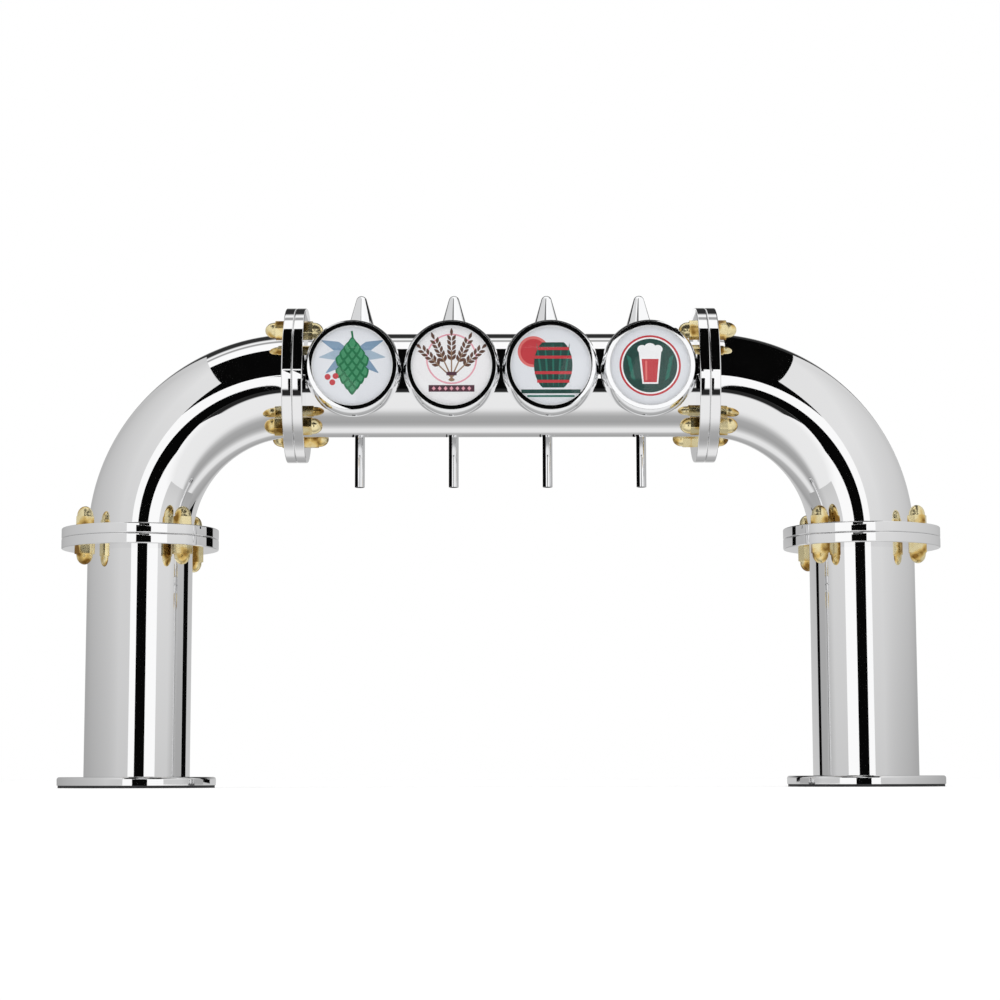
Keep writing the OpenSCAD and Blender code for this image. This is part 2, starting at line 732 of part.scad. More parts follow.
// From the bridge's axis at x0, along the bridge, through the elbow and down the column on side s
module line_to_column(s, x0, drop, outer_r, inner_r) {
    bend_r = elbow_radius - drop;
    translate([0, 0, bridge_z - drop]) rotate([0, s * 90, 0])
        tube_z(outer_r, inner_r, s * x0, bridge_half + elbow_tangent);
    translate([s * (column_x - elbow_radius), 0, column_seam_z + elbow_tangent])
        mirror([s < 0 ? 1 : 0, 0, 0]) quarter_bend(bend_r, outer_r, inner_r);
    translate([s * (column_x - drop), 0, 0])
        tube_z(outer_r, inner_r, line_end_z, column_seam_z + elbow_tangent);
}

// From the shank straight in, then a bend towards the column, then the run
module beer_line(k) {
    s = tap_side(k);
    run_y = line_run_y - tap_rank(k) * line_pitch;
    bore_r = beer_line_r - beer_line_wall;
    translate([tap_x(k), 0, bridge_z]) {
        rotate([-90, 0, 0]) tube_z(beer_line_r, bore_r, run_y + line_bend, shank_inner_y + line_seat);
        translate([s * line_bend, run_y + line_bend, 0]) rotate([0, 0, s < 0 ? 270 : 180])
            rotate_extrude(angle = 90) translate([line_bend, 0]) ring_profile(beer_line_r, bore_r);
    }
    translate([0, run_y, 0]) line_to_column(s, tap_x(k) + s * line_bend, 0, beer_line_r, bore_r);
}

module beer_lines() {
    color("#e4e0cf") for (k = TAPS) beer_line(k);
}

module cooling_line() {
    color("#7fa8c8") translate([0, line_run_y, 0]) for (s = SIDES) {
        line_to_column(s, 0, cooling_drop, cooling_line_r, cooling_line_r - cooling_line_wall);
    }
}

// The nodes

bridge_tube();
joint_studs();
joint_cap_nuts();
medallion_pads();
medallion_screws();
medallion_nuts();
tap_shanks();
shank_saddles();
shank_locknuts();
tap_seals();
coupling_nuts();
tap_spouts();
lever_pins();
beer_lines();
cooling_line();

for (s = SIDES) {
    base_gasket(s);
    base_plate(s);
    column_tube(s);
    column_flange(s);
    elbow_lower_flange(s);
    elbow(s);
    elbow_upper_flange(s);
    bridge_flange(s);
}

for (k = TAPS) {
    medallion_housing(k);
    medallion_face(k);
    medallion_lens(k);
    tap_body(k);
    tap_plunger(k);
    tap_lever(k);
    tap_handle(k);
}
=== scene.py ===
"""Looks of a bridge beer tower: polished tubes, brass cap nuts, medallions and plunger taps."""

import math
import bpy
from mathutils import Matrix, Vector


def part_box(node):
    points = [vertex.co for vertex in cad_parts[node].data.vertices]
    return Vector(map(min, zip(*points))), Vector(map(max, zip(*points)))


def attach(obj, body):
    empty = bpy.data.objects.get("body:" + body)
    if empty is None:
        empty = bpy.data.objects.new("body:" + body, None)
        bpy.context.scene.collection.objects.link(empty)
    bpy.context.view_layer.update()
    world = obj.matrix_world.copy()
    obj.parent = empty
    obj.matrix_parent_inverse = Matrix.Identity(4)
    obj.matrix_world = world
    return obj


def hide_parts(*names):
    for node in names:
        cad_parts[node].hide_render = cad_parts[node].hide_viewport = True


bl_info = {
    "name": "Bridge beer tower",
    "version": (1, 0, 0),
    "blender": (4, 5, 0),
    "location": "3D View > Sidebar > Beer Tower",
    "description": "Models the finished surfaces of a bridge beer tower around its packed frame",
    "category": "Object",
}

import bmesh
import bpy
from bpy.props import FloatProperty, FloatVectorProperty, IntProperty, PointerProperty
from bpy.types import Operator, Panel, PropertyGroup
from mathutils import Matrix, Vector

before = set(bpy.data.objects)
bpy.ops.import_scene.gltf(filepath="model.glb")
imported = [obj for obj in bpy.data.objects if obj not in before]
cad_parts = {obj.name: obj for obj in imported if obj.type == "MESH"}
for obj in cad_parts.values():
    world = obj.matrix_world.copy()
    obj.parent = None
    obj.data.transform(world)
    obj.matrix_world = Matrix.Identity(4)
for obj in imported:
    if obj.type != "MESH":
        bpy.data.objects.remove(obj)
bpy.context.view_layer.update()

SIDES = ("left", "right")
TAPS = (1, 2, 3, 4)
FLANGES = ("column_flange", "elbow_lower_flange", "elbow_upper_flange", "bridge_flange")
FLANGE_PAIRS = (FLANGES[:2], FLANGES[2:])
STUDS = 4
NUT_SIDES = 6
FULL_TURN = 2 * math.pi
QUARTER_TURN = math.pi / 2
MERGE_DISTANCE = 1e-6
SHARP_ANGLE = math.radians(35)
CORNER_ANGLE = math.radians(70)
NOISE_RANGE = (0.3, 0.7)


def centre(node):
    """The middle of a frame node's box."""
    low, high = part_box(node)
    return (low + high) / 2


def size(node):
    """The sides of a frame node's box."""
    low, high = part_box(node)
    return high - low


def stud_angle(k):
    """Where a stud stands on its flange's circle."""
    return (k + 0.5) * FULL_TURN / STUDS


# Sizes and colours that a user would change


class TubeSettings(PropertyGroup):
    wall: FloatProperty(
        name="Tube wall", description="Wall of the tubes and elbows", default=0.002, unit="LENGTH")
    ring_steps: IntProperty(
        name="Ring steps", description="Faces around a tube", default=192)
    bend_steps: IntProperty(
        name="Bend steps", description="Faces along an elbow's quarter turn", default=112)
    edge_round: FloatProperty(
        name="Edge round", description="Rounding of a tube's cut edge", default=0.0003,
        unit="LENGTH")
    tangent: FloatProperty(
        name="Tangent", description="Straight stretch at each end of an elbow", default=0.002,
        unit="LENGTH")


class FlangeSettings(PropertyGroup):
    stud_offset: FloatProperty(
        name="Stud offset", description="Distance of a stud's axis from the tube", default=0.0152,
        unit="LENGTH")
    rim_steps: IntProperty(
        name="Rim steps", description="Faces around a flange", default=192)
    rim_round: FloatProperty(
        name="Rim round", description="Rounding of a flange's rim", default=0.0011, unit="LENGTH")
    hole_diameter: FloatProperty(
        name="Stud hole", description="Diameter of a stud's hole", default=0.011, unit="LENGTH")
    hole_steps: IntProperty(
        name="Hole steps", description="Faces around a stud's hole", default=32)
    nut_flats: FloatProperty(
        name="Nut flats", description="Width across the flats of a cap nut", default=0.0168,
        unit="LENGTH")
    nut_hexagon: FloatProperty(
        name="Nut hexagon", description="Height of a cap nut's hexagon", default=0.008,
        unit="LENGTH")
    nut_shoulder: FloatProperty(
        name="Nut shoulder", description="Size of the slope between hexagon and dome",
        default=0.0007, unit="LENGTH")
    nut_edge: FloatProperty(
        name="Nut edge", description="Broken edge of a cap nut's hexagon", default=0.0004,
        unit="LENGTH")
    nut_dome_steps: IntProperty(
        name="Dome steps", description="Faces over a cap nut's dome", default=12)
    nut_turn_steps: IntProperty(
        name="Turn steps", description="Faces around a cap nut's dome", default=40)
    nut_turn: FloatProperty(
        name="Nut turn", description="Turn from one cap nut to the next", default=0.37,
        subtype="ANGLE", unit="ROTATION")


class MedallionSettings(PropertyGroup):
    turn_steps: IntProperty(
        name="Turn steps", description="Faces around a medallion", default=144)
    flare: FloatProperty(
        name="Flare", description="Lean of the housing's wall from rear to front", default=0.0037,
        unit="LENGTH")
    wall_curve: FloatProperty(
        name="Wall curve", description="Power of the curve in which the housing's wall closes in",
        default=3.0)
    wall_steps: IntProperty(
        name="Wall steps", description="Faces along the housing's curved wall", default=12)
    rim_width: FloatProperty(
        name="Rim width", description="Width of the rim around the lens", default=0.0041,
        unit="LENGTH")
    lip: FloatProperty(
        name="Lip", description="Thickness of the rim where it laps over the lens", default=0.0008,
        unit="LENGTH")
    seat_gap: FloatProperty(
        name="Seat gap", description="Air between a face and its seat", default=0.0001,
        unit="LENGTH")
    rim_round: FloatProperty(
        name="Rim round", description="Rounding of the rim's outer edge", default=0.0003,
        unit="LENGTH")
    seat_depth: FloatProperty(
        name="Seat depth", description="Depth of the face's seat behind the rim", default=0.004,
        unit="LENGTH")
    ledge: FloatProperty(
        name="Ledge", description="Width of the ledge that carries the face", default=0.004,
        unit="LENGTH")
    back_wall: FloatProperty(
        name="Back wall", description="Thickness of the housing's back", default=0.003,
        unit="LENGTH")
    screw_hole: FloatProperty(
        name="Screw hole", description="Diameter of the hole in the housing's back", default=0.009,
        unit="LENGTH")
    lens_edge: FloatProperty(
        name="Lens edge", description="Thickness of a lens at its edge", default=0.0015,
        unit="LENGTH")
    lens_gap: FloatProperty(
        name="Lens gap", description="Air between the face and the lens", default=0.0001,
        unit="LENGTH")
    dome_steps: IntProperty(
        name="Dome steps", description="Faces across a lens from edge to middle", default=24)
    print_room: FloatProperty(
        name="Print room", description="How far a plate stays behind its frame node",
        default=0.0003, unit="LENGTH")
    margin: FloatProperty(
        name="Margin", description="Width of the white margin round a face", default=0.0022,
        unit="LENGTH")
    ink_height: FloatProperty(
        name="Ink height", description="Height of the first spot of ink", default=0.00003,
        unit="LENGTH")
    ink_step: FloatProperty(
        name="Ink step", description="Rise from one spot of ink to the next", default=0.000002,
        unit="LENGTH")
    field_colour: FloatVectorProperty(
        name="Field", description="Ground colour of the faces", default=(0.77, 0.79, 0.83),
        subtype="COLOR", min=0, max=1)


class HandleSettings(PropertyGroup):
    tip_radius: FloatProperty(
        name="Tip radius", description="Radius of a handle's rounded tip", default=0.0055,
        unit="LENGTH")
    bulb_radius: FloatProperty(
        name="Bulb radius", description="Radius of a handle's bulb", default=0.0136, unit="LENGTH")
    bulb_drop: FloatProperty(
        name="Bulb drop", description="Distance of the bulb's centre below the tip", default=0.0352,
        unit="LENGTH")
    ferrule: FloatProperty(
        name="Ferrule", description="Diameter of the ferrule below the bulb", default=0.014,
        unit="LENGTH")
    ferrule_round: FloatProperty(
        name="Ferrule round", description="Rounding of the ferrule's lower edge", default=0.0006,
        unit="LENGTH")
    thread_hole: FloatProperty(
        name="Thread hole", description="Diameter of the hole for the lever's thread",
        default=0.0053, unit="LENGTH")
    thread_depth: FloatProperty(
        name="Thread depth", description="Depth of the hole for the lever's thread", default=0.0201,
        unit="LENGTH")
    arc_steps: IntProperty(
        name="Arc steps", description="Faces along a handle's bulb and along its tip", default=20)
    turn_steps: IntProperty(
        name="Turn steps", description="Faces around a handle", default=72)


class StageSettings(PropertyGroup):
    camera_place: FloatVectorProperty(
        name="Camera place", description="Where the camera stands", default=(-0.01189, -2.4, 0.010),
        subtype="TRANSLATION", unit="LENGTH")
    camera_tilt: FloatProperty(
        name="Camera tilt", description="How far the camera looks up", default=math.radians(7.215),
        subtype="ANGLE", unit="ROTATION")
    camera_pan: FloatProperty(
        name="Camera pan", description="How far the camera looks to the right",
        default=math.radians(0.26), subtype="ANGLE", unit="ROTATION")
    camera_roll: FloatProperty(
        name="Camera roll", description="How far the camera leans", default=math.radians(-0.119),
        subtype="ANGLE", unit="ROTATION")
    camera_lens: FloatProperty(
        name="Lens", description="Focal length in millimetres", default=88.83)
    camera_shift: FloatProperty(
        name="Shift", description="Vertical shift of the frame", default=-0.0356)
    fill: FloatProperty(
        name="Fill light", description="Strength of the even light from all around", default=0.80)
    band_reach: FloatProperty(
        name="Band reach", description="How far aside the studio's short dark band shows",
        default=0.21)
    spout_card_gap: FloatProperty(
        name="Spout card gap", description="Distance of the small cards from a spout's axis",
        default=0.0072, unit="LENGTH")
    card_thickness: FloatProperty(
        name="Card thickness", description="Thickness of the small cards", default=0.0008,
        unit="LENGTH")
    card_drop: FloatProperty(
        name="Card drop", description="How far the small cards reach below the spouts",
        default=0.006, unit="LENGTH")
    card_rise: FloatProperty(
        name="Card rise", description="How far the small cards reach up from the spouts' ends",
        default=0.052, unit="LENGTH")
    card_reach: FloatProperty(
        name="Card reach", description="How far the small cards reach behind the spouts, in gaps",
        default=1.8)
    key_power: FloatProperty(
        name="Key light", description="Power of the overhead lamp", default=6.0, unit="POWER")


# Materials


def set_inputs(node, values):
    """Sets inputs of a node by name."""
    for name, value in values.items():
        node.inputs[name].default_value = value


def new_finish(name, colour, metallic=0.0, roughness=0.5):
    """A material with a Principled shader, and that shader's node."""
    material = bpy.data.materials.new(name)
    material.use_nodes = True
    shader = material.node_tree.nodes["Principled BSDF"]
    set_inputs(shader, {"Base Color": (*colour, 1), "Metallic": metallic, "Roughness": roughness})
    return material, shader


def noise(tree, scale, detail):
    """The grey value of a noise texture on Object coordinates."""
    coordinates = tree.nodes.new("ShaderNodeTexCoord")
    texture = tree.nodes.new("ShaderNodeTexNoise")
    set_inputs(texture, {"Scale": scale, "Detail": detail})
    tree.links.new(coordinates.outputs["Object"], texture.inputs["Vector"])
    return texture.outputs["Fac"]


def axes(tree, kind):
    """The X, Y and Z of one kind of texture coordinates."""
    coordinates = tree.nodes.new("ShaderNodeTexCoord")
    parts = tree.nodes.new("ShaderNodeSeparateXYZ")
    tree.links.new(coordinates.outputs[kind], parts.inputs["Vector"])
    return parts.outputs


def calculate(tree, operation, *values, clamp=False):
    """The result of a math node, from sockets and numbers."""
    node = tree.nodes.new("ShaderNodeMath")
    node.operation = operation
    node.use_clamp = clamp
    for socket, value in zip(node.inputs, values):
        if isinstance(value, (int, float)):
            socket.default_value = value
        else:
            tree.links.new(value, socket)
    return node.outputs["Value"]


def choose(tree, factor, first, second):
    """One of two shaders, or a mix of them, by a factor."""
    node = tree.nodes.new("ShaderNodeMixShader")
    for socket, value in zip(node.inputs, (factor, first, second)):
        tree.links.new(value, socket)
    return node.outputs["Shader"]


def map_range(tree, value, start, end, low, high):
    """A value that runs from start to end, brought to run from low to high."""
    node = tree.nodes.new("ShaderNodeMapRange")
    set_inputs(node, {"From Min": start, "From Max": end, "To Min": low, "To Max": high})
    tree.links.new(value, node.inputs["Value"])
    return node.outputs["Result"]


def roughen(tree, shader, scale, detail, low, high):
    """Lets a shader's roughness wander between two ends."""
    wander = map_range(tree, noise(tree, scale, detail), *NOISE_RANGE, low, high)
    tree.links.new(wander, shader.inputs["Roughness"])


def blend_colours(tree, value, stops):
    """A colour ramp over a value, from (position, colour) pairs."""
    node = tree.nodes.new("ShaderNodeValToRGB")
    elements = node.color_ramp.elements
    while len(elements) < len(stops):
        elements.new(1.0)
    for element, (position, colour) in zip(elements, stops):
        element.position = position
        element.color = (*colour, 1)
    tree.links.new(value, node.inputs["Fac"])
    return node.outputs["Color"]


def bump(tree, shader, height, strength, distance):
    """Gives a shader fine relief."""
    node = tree.nodes.new("ShaderNodeBump")
    set_inputs(node, {"Strength": strength, "Distance": distance})
    tree.links.new(height, node.inputs["Height"])
    tree.links.new(node.outputs["Normal"], shader.inputs["Normal"])


def polished_metal(name, colour, smooth, hazy, waviness):
    """Mirror polish with faint hazy patches and the slow waves of hand polishing."""
    material, shader = new_finish(name, colour, metallic=1.0)
    tree = material.node_tree
    roughen(tree, shader, scale=60, detail=4, low=smooth, high=hazy)
    bump(tree, shader, noise(tree, scale=9, detail=1), strength=waviness, distance=0.002)
    return material


def brass_with_painted_light():
    """Turned brass with painted light: random dark brown patches are painted shade and pale cream
    patches are painted highlights.
    """
    material, shader = new_finish("turned_brass", (0.92, 0.64, 0.20), metallic=1.0)
    tree = material.node_tree
    # Painted shade (dark brown) and painted highlights (pale cream), laid at random by noise around
    # the plain brass colour
    painted_shade_brown, brass, painted_highlight_cream = (0.30, 0.155, 0.03), (0.86, 0.60, 0.20), (1.0, 0.87, 0.51)
    painted_light_patches = noise(tree, scale=75, detail=1.5)
    colours = blend_colours(tree, painted_light_patches, [(0.37, painted_shade_brown), (0.47, brass), (0.57, painted_highlight_cream)])
    tree.links.new(colours, shader.inputs["Base Color"])
    roughen(tree, shader, scale=160, detail=2, low=0.22, high=0.30)
    return material


def black_rubber():
    """Matt rubber with a fine grain."""
    material, shader = new_finish("black_rubber", (0.018, 0.018, 0.020))
    tree = material.node_tree
    roughen(tree, shader, scale=80, detail=2, low=0.50, high=0.75)
    bump(tree, shader, noise(tree, scale=900, detail=3), strength=0.25, distance=0.0003)
    return material


def zinc_plate():
    """Dull zinc plating with a faint yellow cast."""
    material, shader = new_finish("zinc_plate", (0.62, 0.62, 0.58), metallic=1.0)
    roughen(material.node_tree, shader, scale=220, detail=4, low=0.25, high=0.45)
    return material


def line_plastic(name, colour):
    """Soft tubing with a waxy sheen."""
    material, shader = new_finish(name, colour)
    roughen(material.node_tree, shader, scale=120, detail=3, low=0.30, high=0.45)
    set_inputs(shader, {"Coat Weight": 0.2})
    return material


def printed_ink(name, colour):
    """Screen-printed ink: a slight speckle in colour and sheen."""
    material, shader = new_finish(name, colour)
    tree = material.node_tree
    light = tuple(min(1.0, 1.06 * c + 0.004) for c in colour)
    dark = tuple(0.93 * c for c in colour)
    speckle = blend_colours(tree, noise(tree, scale=1500, detail=3), [(0.35, dark), (0.65, light)])
    tree.links.new(speckle, shader.inputs["Base Color"])
    roughen(tree, shader, scale=400, detail=2, low=0.32, high=0.48)
    return material


def clear_lens():
    """Clear cast resin that shows the print and mirrors a little at its edge."""
    material = bpy.data.materials.new("clear_lens")
    material.use_nodes = True
    tree = material.node_tree
    tree.nodes.remove(tree.nodes["Principled BSDF"])
    clear = tree.nodes.new("ShaderNodeBsdfTransparent")
    gloss = tree.nodes.new("ShaderNodeBsdfGlossy")
    set_inputs(gloss, {"Roughness": 0.03})
    edge = tree.nodes.new("ShaderNodeFresnel")
    set_inputs(edge, {"IOR": 1.45})
    side = tree.nodes.new("ShaderNodeNewGeometry")
    front_only = calculate(tree, "SUBTRACT", edge.outputs["Fac"], side.outputs["Backfacing"],
                           clamp=True)
    shown = choose(tree, front_only, clear.outputs["BSDF"], gloss.outputs["BSDF"])
    tree.links.new(shown, tree.nodes["Material Output"].inputs["Surface"])
    return material


FINISHES = {
    "steel": lambda: polished_metal("polished_steel", (0.93, 0.93, 0.935), 0.012, 0.035, 0.05),
    "chrome": lambda: polished_metal("bright_chrome", (0.94, 0.945, 0.955), 0.010, 0.030, 0.03),
    "brass": brass_with_painted_light,
    "rubber": black_rubber,
    "zinc": zinc_plate,
    "drink_line": lambda: line_plastic("drink_line_plastic", (0.78, 0.75, 0.62)),
    "cooling_line": lambda: line_plastic("cooling_line_plastic", (0.21, 0.39, 0.58)),
    "lens": clear_lens,
}
INKS = {
    "green": (0.004, 0.165, 0.060),
    "fresh_green": (0.050, 0.30, 0.135),
    "leaf": (0.20, 0.32, 0.46),
    "pale_leaf": (0.36, 0.47, 0.58),
    "red": (0.56, 0.030, 0.042),
    "pale_red": (0.74, 0.16, 0.15),
    "brown": (0.125, 0.055, 0.035),
    "straw": (0.30, 0.19, 0.12),
    "maroon": (0.085, 0.026, 0.045),
    "rose": (0.78, 0.36, 0.43),
    "bottle": (0.008, 0.062, 0.050),
    "sea": (0.012, 0.16, 0.115),
    "white": (0.90, 0.91, 0.92),
    "paper": (0.87, 0.865, 0.88),
}
made_finishes = {}


def finish(name):
    """A finish by name, made once."""
    if name not in made_finishes:
        made_finishes[name] = FINISHES[name]()
    return made_finishes[name]


def ink(name):
    """A printing ink by name, made once."""
    key = "ink_" + name
    if key not in made_finishes:
        field = tuple(bpy.context.scene.tower_medallions.field_colour)
        made_finishes[key] = printed_ink(key, INKS.get(name, field))
    return made_finishes[key]


# Modelling


def pick(geometry, kind):
    """The items of one kind among an operator's results."""
    return [item for item in geometry if isinstance(item, kind)]


def to_object(bm, name, materials):
    """Turns a bmesh into an object at the origin."""
    mesh = bpy.data.meshes.new(name)
    bm.to_mesh(mesh)
    bm.free()
    for material in materials:
        mesh.materials.append(material)
    obj = bpy.data.objects.new(name, mesh)
    bpy.context.scene.collection.objects.link(obj)
    return obj


def new_piece(bm, name, materials, node, body="frame", weighted=False):
    """Turns a bmesh into a piece that rides on a body and stands for a frame node."""
    bmesh.ops.remove_doubles(bm, verts=bm.verts, dist=MERGE_DISTANCE)
    bmesh.ops.recalc_face_normals(bm, faces=bm.faces)
    for face in bm.faces:
        face.smooth = True
    for edge in bm.edges:
        edge.smooth = edge.calc_face_angle(0) < SHARP_ANGLE
    piece = to_object(bm, name, materials)
    if weighted:
        modifier = piece.modifiers.new("even_flats", "WEIGHTED_NORMAL")
        modifier.mode = "FACE_AREA"
        modifier.weight = 100
        modifier.keep_sharp = True
    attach(piece, body)
    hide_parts(node)


def dress(node, material):
    """Gives a frame node that is shown as it is its finish."""
    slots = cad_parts[node].data.materials
    slots.clear()
    slots.append(material)


def profile(bm, points, closed=True):
    """A wire of (radius, height) points in the XZ plane."""
    verts = [bm.verts.new((radius, 0, height)) for radius, height in points]
    pairs = zip(verts, verts[1:] + verts[:1] if closed else verts[1:])
    for first, second in pairs:
        bm.edges.new((first, second))
    return verts


def round_off(bm, parts, offset, segments, affect="VERTICES"):
    """Rounds corners of a wire, or edges of a solid."""
    bmesh.ops.bevel(bm, geom=parts, offset=offset, segments=segments, profile=0.5, affect=affect,
                    material=-1)


def arc(bm, vert, height, angle, steps):
    """Bends a wire on from a vertex, round a point on the Z axis. Returns the arc's far end."""
    swept = bmesh.ops.spin(bm, geom=[vert], cent=(0, 0, height), axis=(0, 1, 0), dvec=(0, 0, 0),
                           angle=-angle, steps=steps, use_duplicate=False)
    return pick(swept["geom_last"], bmesh.types.BMVert)[0]


def raise_faces(bm, faces, height):
    """Gives flat faces a height. Returns the raised corners."""
    raised = pick(bmesh.ops.extrude_face_region(bm, geom=faces)["geom"], bmesh.types.BMVert)
    bmesh.ops.translate(bm, verts=raised, vec=(0, 0, height))
    return raised


def turn(bm, steps):
    """Spins the whole wire once round the Z axis."""
    bmesh.ops.spin(bm, geom=bm.verts[:] + bm.edges[:], cent=(0, 0, 0), axis=(0, 0, 1), dvec=(0, 0, 0),
                   angle=FULL_TURN, steps=steps, use_merge=True, use_duplicate=False)


def place(bm, matrix):
    """Moves a whole bmesh."""
    bmesh.ops.transform(bm, matrix=matrix, space=Matrix.Identity(4), verts=bm.verts)


def along_x(point):
    """Puts what stands on Z along X, at a point."""
    return Matrix.Translation(point) @ Matrix.Rotation(QUARTER_TURN, 4, "Y")


def facing_front(point):
    """Puts what stands on Z along -Y, with its X to the right and its Y up, at a point."""
    return Matrix.Translation(point) @ Matrix.Rotation(QUARTER_TURN, 4, "X")


# Tubes


def column_tube(side, settings):
    """A column's straight tube with rounded cut edges."""
    node = side + "_column_tube"
    low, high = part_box(node)
    middle = centre(node)
    outer = (high - low).x / 2
    inner = outer - settings.wall
    length = high.z - low.z
    bm = bmesh.new()
    wire = profile(bm, [(inner, 0), (outer, 0), (outer, length), (inner, length)])
    round_off(bm, wire, settings.edge_round, segments=2)
    turn(bm, settings.ring_steps)
    place(bm, Matrix.Translation((middle.x, middle.y, low.z)))
    new_piece(bm, side + "_column", [finish("steel")], node=node, weighted=True)


def elbow_wall(bm, radius, at, bend_centre, turn_angle, settings):
    """One wall of an elbow, swept round the bend, with short straight ends. Returns its end rings."""
    ring = bmesh.ops.create_circle(bm, segments=settings.ring_steps, radius=radius)["verts"]
    bmesh.ops.translate(bm, verts=ring, vec=at)
    start = list({edge for vert in ring for edge in vert.link_edges})
    lower = bmesh.ops.extrude_edge_only(bm, edges=start)["geom"]
    bmesh.ops.translate(bm, verts=pick(lower, bmesh.types.BMVert), vec=(0, 0, -settings.tangent))
    swept = bmesh.ops.spin(bm, geom=ring + start, cent=bend_centre, axis=(0, 1, 0), dvec=(0, 0, 0),
                           angle=turn_angle, steps=settings.bend_steps, use_duplicate=False)
    end = pick(swept["geom_last"], bmesh.types.BMEdge)
    upper = bmesh.ops.extrude_edge_only(bm, edges=end)["geom"]
    outward = math.copysign(settings.tangent, bend_centre[0] - at[0])
    bmesh.ops.translate(bm, verts=pick(upper, bmesh.types.BMVert), vec=(outward, 0, 0))
    return pick(lower, bmesh.types.BMEdge), pick(upper, bmesh.types.BMEdge)


def elbow(side, settings):
    """An elbow: an outer and an inner wall, joined at both ends."""
    node = side + "_elbow"
    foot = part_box(node)[0].z
    column = centre(side + "_column_tube")
    radius = size(side + "_column_tube").x / 2
    bend = centre("bridge_tube").z - foot - settings.tangent
    inward = -math.copysign(1, column.x)
    at = (column.x, 0, foot + settings.tangent)
    bend_centre = (column.x + inward * bend, 0, foot + settings.tangent)
    bm = bmesh.new()
    walls = [elbow_wall(bm, wall_radius, at, bend_centre, inward * QUARTER_TURN, settings)
             for wall_radius in (radius, radius - settings.wall)]
    for outer_ring, inner_ring in zip(*walls):
        bmesh.ops.bridge_loops(bm, edges=outer_ring + inner_ring)
    new_piece(bm, side + "_elbow_bend", [finish("steel")], node=node)


class TOWER_OT_tubes(Operator):
    """Models the columns and the elbows and dresses the bridge"""

    bl_idname = "tower.tubes"
    bl_label = "Tubes and elbows"

    def execute(self, context):
        settings = context.scene.tower_tubes
        for side in SIDES:
            column_tube(side, settings)
            elbow(side, settings)
        dress("bridge_tube", finish("steel"))
        return {"FINISHED"}


# Flanges and nuts


def flange(node, settings):
    """A flange plate with its bore, its stud holes and a rounded rim."""
    low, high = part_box(node)
    sides = high - low
    upright = sides.x < sides.z
    thickness = min(sides)
    radius = max(sides) / 2
    tube_radius = size("left_column_tube").x / 2
    stud_circle = tube_radius + settings.stud_offset
    bm = bmesh.new()
    for ring_radius in (radius, tube_radius):
        bmesh.ops.create_circle(bm, segments=settings.rim_steps, radius=ring_radius)
    hole_radius = settings.hole_diameter / 2
    for k in range(STUDS):
        angle = stud_angle(k)
        at = Vector((math.cos(angle), math.sin(angle), 0)) * stud_circle
        hole = bmesh.ops.create_circle(bm, segments=settings.hole_steps, radius=hole_radius)["verts"]
        bmesh.ops.translate(bm, verts=hole, vec=at)
    bmesh.ops.triangle_fill(bm, use_beauty=True, use_dissolve=False, edges=bm.edges[:],
                            normal=(0, 0, 1))
    raise_faces(bm, bm.faces[:], thickness)
    bmesh.ops.recalc_face_normals(bm, faces=bm.faces)
    rim = [edge for edge in bm.edges if edge.calc_face_angle(0) > CORNER_ANGLE
           and min(vert.co.xy.length for vert in edge.verts) > radius - MERGE_DISTANCE]
    round_off(bm, rim, settings.rim_round, segments=3, affect="EDGES")
    point = (low + high) / 2
    if upright:
        matrix = along_x((low.x, point.y, point.z))
    else:
        matrix = Matrix.Translation((point.x, point.y, low.z))
    place(bm, matrix)
    new_piece(bm, node + "_plate", [finish("steel")], node=node,
              weighted=True)


def cap_nut(height, settings):
    """The mesh of one domed nut that stands on Z = 0."""
    bm = bmesh.new()
    flat = settings.nut_flats / 2
    shoulder = settings.nut_hexagon + settings.nut_shoulder
    dome = flat - settings.nut_shoulder
    wire = profile(bm, [(flat, settings.nut_hexagon - settings.nut_shoulder), (dome, shoulder)],
                   closed=False)
    arc(bm, wire[-1], shoulder, QUARTER_TURN, settings.nut_dome_steps)
    stretch = (height - shoulder) / dome
    for vert in bm.verts:
        if vert.co.z > shoulder:
            vert.co.z = shoulder + (vert.co.z - shoulder) * stretch
    turn(bm, settings.nut_turn_steps)
    corner = flat / math.cos(math.pi / NUT_SIDES)
    foot = bmesh.ops.create_circle(bm, segments=NUT_SIDES, radius=corner, cap_ends=True)["verts"]
    underside = list({face for vert in foot for face in vert.link_faces})
    raised = raise_faces(bm, underside, settings.nut_hexagon)
    edges = list({edge for vert in raised for edge in vert.link_edges})
    round_off(bm, edges, settings.nut_edge, segments=2, affect="EDGES")
    mesh = bpy.data.meshes.new("cap_nut")
    bm.to_mesh(mesh)
    bm.free()
    return mesh


def cap_nuts(settings):
    """All the domed nuts on the outer faces of the flanges, each turned as its thread left it."""
    node = "joint_cap_nuts"
    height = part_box("left_column_flange")[0].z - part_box(node)[0].z
    nut = cap_nut(height, settings)
    to_circle = Matrix.Translation((size("left_column_tube").x / 2 + settings.stud_offset, 0, 0))
    bm = bmesh.new()
    count = 0
    for side in SIDES:
        for pair in FLANGE_PAIRS:
            for name, partner in (pair, pair[::-1]):
                middle = centre(side + "_" + name)
                outward = (middle - centre(side + "_" + partner)).normalized()
                seat = middle + outward * min(size(side + "_" + name)) / 2
                upright = outward.to_track_quat("Z", "Y").to_matrix().to_4x4()
                for k in range(STUDS):
                    at = Matrix.Rotation(stud_angle(k), 4, "Z") @ to_circle
                    turned = Matrix.Rotation(count * settings.nut_turn, 4, "Z")
                    first = len(bm.verts)
                    bm.from_mesh(nut)
                    bm.verts.ensure_lookup_table()
                    bmesh.ops.transform(bm, matrix=Matrix.Translation(seat) @ upright @ at @ turned,
                                        space=Matrix.Identity(4), verts=bm.verts[first:])
                    count += 1
    bpy.data.meshes.remove(nut)
    new_piece(bm, "cap_nuts", [finish("brass")], node=node, weighted=True)


